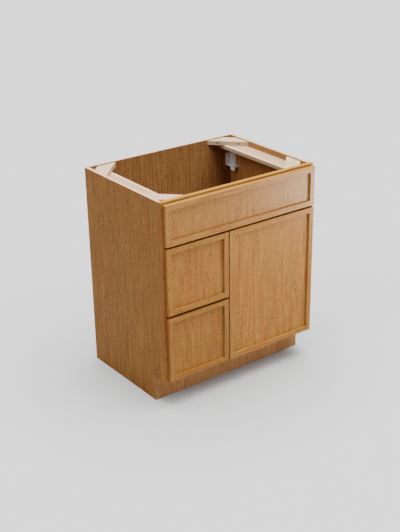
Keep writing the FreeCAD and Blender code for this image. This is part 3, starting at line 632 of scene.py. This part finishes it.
def turned(name, body, node, places, profile, cross, material):
    """Like parts turned on a lathe. Each row of the profile gives a radius, a depth below the top
    and the share of the length to add to it, and is swept round the axis. The cross sinks the
    head above its crown, wherever either distance across the axis is less than its half width and
    both are less than its reach."""
    tops, ways, lengths = places
    radius, depth, share = np.array(profile).T
    turn = np.linspace(0.0, 2 * pi, turn_steps, endpoint=False)
    u, v = np.outer(radius, np.cos(turn)), np.outer(radius, np.sin(turn))
    half_width, reach, sink = cross
    near, far = np.minimum(abs(u), abs(v)), np.maximum(abs(u), abs(v))
    pressed = (np.clip((half_width - near) / cross_flank + 0.5, 0, 1)
               * np.clip((reach - far) / cross_end + 0.5, 0, 1))
    on_head = ((share == 0) & (depth < crown))[:, None]
    w = depth[:, None] + sink * pressed * on_head + (share * lengths[:, None])[..., None]
    side = np.cross(ways, (0.0, 0.0, 1.0))
    directions = np.stack([side, np.cross(ways, side), ways], axis=1)[:, :, None, None]
    points = tops[:, None, None] + sum(
        distance[..., None] * directions[:, number] for number, distance in enumerate((u, v, w)))
    faces = quilt(*u.shape)[None] + (np.arange(len(tops)) * u.size)[:, None, None]
    mesh = bpy.data.meshes.new(name)
    mesh.from_pydata(points.reshape(-1, 3).tolist(), [], faces.reshape(-1, 4).tolist())
    mesh.polygons.foreach_set("use_smooth", np.ones(len(mesh.polygons), dtype=bool))
    mesh.set_sharp_from_angle(angle=crease_angle)
    mesh.materials.append(material)
    show(bpy.data.objects.new(name, mesh), body, node)


STEEL_DARK = (0.42, 0.42, 0.42)
STEEL_BRIGHT = (0.56, 0.56, 0.54)
steel_cloud_scale = 60.0
steel_cloud_detail = 3.0
steel_roughness = 0.25
steel_roughness_rise = 0.2
scratch_scale = 900.0
scratch_squeeze = 0.05
scratch_relief = 0.00001


def steel_paint(place):
    cloud = place.noise(steel_cloud_scale, steel_cloud_detail)
    scratches = place.vector("MULTIPLY", (1.0, scratch_squeeze, 1.0)).noise(scratch_scale)
    colour = cloud.blend(STEEL_DARK, STEEL_BRIGHT)
    return colour, scratches * scratch_relief, steel_roughness + cloud * steel_roughness_rise


steel = finish("zinc-plated steel", steel_paint, roughness=0.35, metallic=1.0)
out_from_axis = np.linspace(0.0, 1.0, 13)
head_radius = 0.00375
head_height = 0.002
shank_radius = 0.00175
point_length = 0.003
# The head's top falls from its middle by crown times the fourth power of the share of the radius.
pan_profile = [(head_radius * out, crown * out ** 4, 0.0) for out in out_from_axis] + [
    (head_radius, head_height, 0.0), (shank_radius, head_height, 0.0),
    (shank_radius, -point_length, 1.0), (0.0, 0.0, 1.0)]
pan_cross = (0.0005, 0.002, 0.0012)
sunk_head_radius = 0.003
sunk_head_height = 0.001
sunk_shank_radius = 0.0016
sunk_point_length = 0.002
sunk_profile = [(sunk_head_radius * out, 0.0, 0.0) for out in out_from_axis] + [
    (sunk_shank_radius, sunk_head_height, 0.0), (sunk_shank_radius, -sunk_point_length, 1.0),
    (0.0, 0.0, 1.0)]
sunk_cross = (0.00045, 0.0017, 0.0009)

for node, body in (
        ("block_screws", "cabinet"), ("hardware_screws", "cabinet"),
        ("upper_drawer_screws", "upper_drawer"), ("lower_drawer_screws", "lower_drawer")):
    turned(node + "_cross_head", body, node, screw_places(node),
           pan_profile, pan_cross, steel)
turned("hinge_cup_screws_cross_head", "door", "hinge_cup_screws",
       screw_places("hinge_cup_screws"), sunk_profile, sunk_cross, steel)


# Concealed hinges: pressed steel with bright nickel plating. The cup is let into the back of the
# door and its arm is screwed to the edge of the frame.

NICKEL_DARK = (0.58, 0.56, 0.52)
NICKEL_BRIGHT = (0.68, 0.66, 0.62)
nickel_cloud_scale = 45.0
nickel_roughness = 0.16
nickel_roughness_rise = 0.12
nickel_pit_scale = 700.0
nickel_relief = 0.000004
pressed_ease = 0.00025


def nickel_paint(place):
    cloud = place.noise(nickel_cloud_scale)
    colour = cloud.blend(NICKEL_DARK, NICKEL_BRIGHT)
    pits = place.noise(nickel_pit_scale)
    return colour, pits * nickel_relief, nickel_roughness + cloud * nickel_roughness_rise


nickel = finish("nickel plating", nickel_paint, roughness=0.2, metallic=1.0)
for node, body in (("hinge_cups", "door"), ("hinge_pins", "door"), ("hinge_arms", "cabinet")):
    eased(node, body, pressed_ease, nickel)


# Undermount slides: rolled zinc-plated steel in three members, and a peg that hooks the box back.
# They're screwed to the frame in front and held by moulded brackets behind.

rolled_ease = 0.0002
bracket_ease = 0.0005
mottle_scale = 300.0


def moulded(name, tones, roughness, pit_scale=900.0, pit_depth=0.00002, specular=0.5):
    """Moulded plastic or rubber: two close tones in a fine mottle, and a surface of fine pits."""

    def paint(place):
        return place.noise(mottle_scale).blend(*tones), place.noise(pit_scale) * pit_depth

    return finish(name, paint, roughness, specular)


for drawer in ("upper", "lower"):
    for node, body in (
            (drawer + "_slide_cabinet_members", "cabinet"),
            (drawer + "_slide_middle_members", drawer + "_slide_middles"),
            (drawer + "_drawer_slide_members", drawer + "_drawer")):
        eased(node, body, rolled_ease, steel)
plastic = moulded("white moulded plastic", ((0.72, 0.75, 0.80), (0.80, 0.82, 0.86)),
                  roughness=0.45, specular=0.4)
eased("slide_rear_brackets", "cabinet", bracket_ease, plastic)


# Locks under each drawer: orange moulded levers on their housings, pressed aside to lift the drawer
# off its slides.

lock_ease = 0.0004
orange = moulded("orange moulded plastic", ((0.55, 0.13, 0.02), (0.62, 0.16, 0.03)), roughness=0.4)
for drawer in ("upper", "lower"):
    eased(drawer + "_drawer_lock_housings", drawer + "_drawer", lock_ease, orange)
    for side in ("left", "right"):
        eased(f"{drawer}_{side}_lock_lever", f"{drawer}_{side}_lock",
              lock_ease, orange)


# Spacers and bumper pads: plastic discs that hold the false front off the frame, and domes of
# clear rubber stuck to the frame where the door and the drawer fronts close.

spacer_ease = 0.0002
eased("false_front_spacers", "cabinet", spacer_ease, plastic)

rubber = moulded("clear rubber", ((0.50, 0.50, 0.47), (0.58, 0.58, 0.55)), roughness=0.25,
                 pit_scale=500.0, pit_depth=0.00003)
pad_radius = 0.004
pad_height = 0.002
dome_drop = 0.0013
dome_power = 2.4
# The dome falls by dome_drop times 1 minus the square root of 1 minus the share of the radius to
# the power dome_power.
pad_profile = [
    (pad_radius * out, dome_drop * (1 - (1 - out ** dome_power) ** 0.5), 0.0)
    for out in out_from_axis] + [(pad_radius, pad_height, 0.0), (0.0, pad_height, 0.0)]
no_cross = (0.0, 0.0, 0.0)


def pad_places(node):
    """The middle of each pad's front, the way to the frame behind it, and its height."""
    boxes = np.array([(points.min(axis=0), points.max(axis=0)) for points in solids(node)])
    lows, highs = boxes[:, 0], boxes[:, 1]
    tops = (lows + highs) / 2
    tops[:, 1] = lows[:, 1]
    return tops, np.full(lows.shape, (0.0, 1.0, 0.0)), (highs - lows)[:, 1]


turned("bumper_pads_domed", "cabinet", "bumper_pads", pad_places("bumper_pads"),
       pad_profile, no_cross, rubber)


# Studio floor and backdrop: a plain pale sheet, and a ring near its rim that is as bright as the
# floor looks, so that low views have no horizon. Neither is part of the cabinet.

floor_half = 30.0
backdrop_radius = 29.0
backdrop_height = 18.0
backdrop_steps = 96


def studio_piece(name, points, faces, material):
    mesh = bpy.data.meshes.new(name)
    mesh.from_pydata(points, [], faces)
    mesh.materials.append(material)
    piece = bpy.data.objects.new(name, mesh)
    bpy.context.scene.collection.objects.link(piece)
    return piece


studio_piece(
    "studio_floor",
    [(x * floor_half, y * floor_half, 0) for x, y in ((-1, -1), (1, -1), (1, 1), (-1, 1))],
    [(0, 1, 2, 3)], plain("studio floor", Base_Color=(0.37, 0.37, 0.37, 1.0), Roughness=0.9))

turn = np.linspace(0.0, 2 * pi, backdrop_steps, endpoint=False)
ring = backdrop_radius * np.stack([np.cos(turn), np.sin(turn), 0.0 * turn], axis=1)
backdrop = studio_piece(
    "studio_backdrop", np.concatenate([ring, ring + (0.0, 0.0, backdrop_height)]).tolist(),
    quilt(2, backdrop_steps).tolist(),
    plain("studio backdrop", Base_Color=(0.0, 0.0, 0.0, 1.0), Specular_IOR_Level=0.0,
          Emission_Color=(1.0, 1.0, 1.0, 1.0), Emission_Strength=1.8))
backdrop.visible_diffuse = backdrop.visible_glossy = backdrop.visible_shadow = False


# Studio light: soft suns from the front right, overhead and the left, and a faint even light. A
# warm soft box low at the front right shows as gloss on the false front, and from so low it leaves
# the gaps between the fronts dark.

def facing(azimuth, elevation):
    """The direction out from the cabinet. Azimuth 0 is the front and 90 the right."""
    around, up = radians(azimuth), radians(elevation)
    return Vector((sin(around) * cos(up), -cos(around) * cos(up), sin(up)))


def lit(name, lamp, direction, location=(0.0, 0.0, 0.0)):
    """A lamp in the scene that shines from that direction."""
    light = bpy.data.objects.new(name, lamp)
    light.location = location
    light.rotation_euler = direction.to_track_quat("Z", "Y").to_euler()
    bpy.context.scene.collection.objects.link(light)


for name, azimuth, elevation, strength, spread in (
        ("key", 30.0, 60.0, 4.1, 60.0), ("overhead", 140.0, 82.0, 10.0, 60.0),
        ("fill", -90.0, 42.0, 1.5, 40.0)):
    sun = bpy.data.lights.new(name, "SUN")
    sun.energy = strength
    sun.angle = radians(spread)
    lit(name, sun, facing(azimuth, elevation))

soft_box = bpy.data.lights.new("soft_box", "AREA")
soft_box.shape = "RECTANGLE"
soft_box.energy = 4.2
soft_box.color = (1.0, 0.84, 0.66)
soft_box.size = 0.5
soft_box.size_y = 0.3
soft_box.spread = radians(60)
soft_box_place = Vector((1.5, -1.15, 0.25))
soft_box_aim = Vector((0.2, -0.28, 0.85))
lit("soft_box", soft_box, soft_box_place - soft_box_aim, soft_box_place)

world = bpy.data.worlds.new("studio")
bpy.context.scene.world = world
world.use_nodes = True
world.node_tree.nodes["Background"].inputs["Color"].default_value = (1.0, 1.0, 1.0, 1.0)
world.node_tree.nodes["Background"].inputs["Strength"].default_value = 0.08


# Camera: at the photograph's viewing angle and distance. Its place and focal length were fitted to
# the corners of the case and the fronts, and the shift moves the picture to the photograph's
# framing. Focal length, shift and frame height are in pixels of the photograph.

frame_height = 532.0
focal_length = 1029.06
shift_right = -35.02
shift_up = 21.92
camera_azimuth = -38.5527
camera_elevation = 25.1102
camera_distance = 4.35992
looked_at = Vector((0.0, -0.006175, 0.438))
aim_right = 0.133634
aim_up = -0.096919

backward = facing(camera_azimuth, camera_elevation)
right = Vector((cos(radians(camera_azimuth)), sin(radians(camera_azimuth)), 0.0))
upward = backward.cross(right)
camera_data = bpy.data.cameras.new("camera")
camera_data.sensor_width = 36.0
camera_data.lens = camera_data.sensor_width * focal_length / frame_height
camera_data.shift_x = shift_right / frame_height
camera_data.shift_y = shift_up / frame_height
camera_data.clip_end = 100.0
camera = bpy.data.objects.new("camera", camera_data)
turned_to = Matrix((right, upward, backward)).transposed().to_4x4()
stand = looked_at + right * aim_right + upward * aim_up + backward * camera_distance
camera.matrix_world = Matrix.Translation(stand) @ turned_to
bpy.context.scene.collection.objects.link(camera)
bpy.context.scene.camera = camera
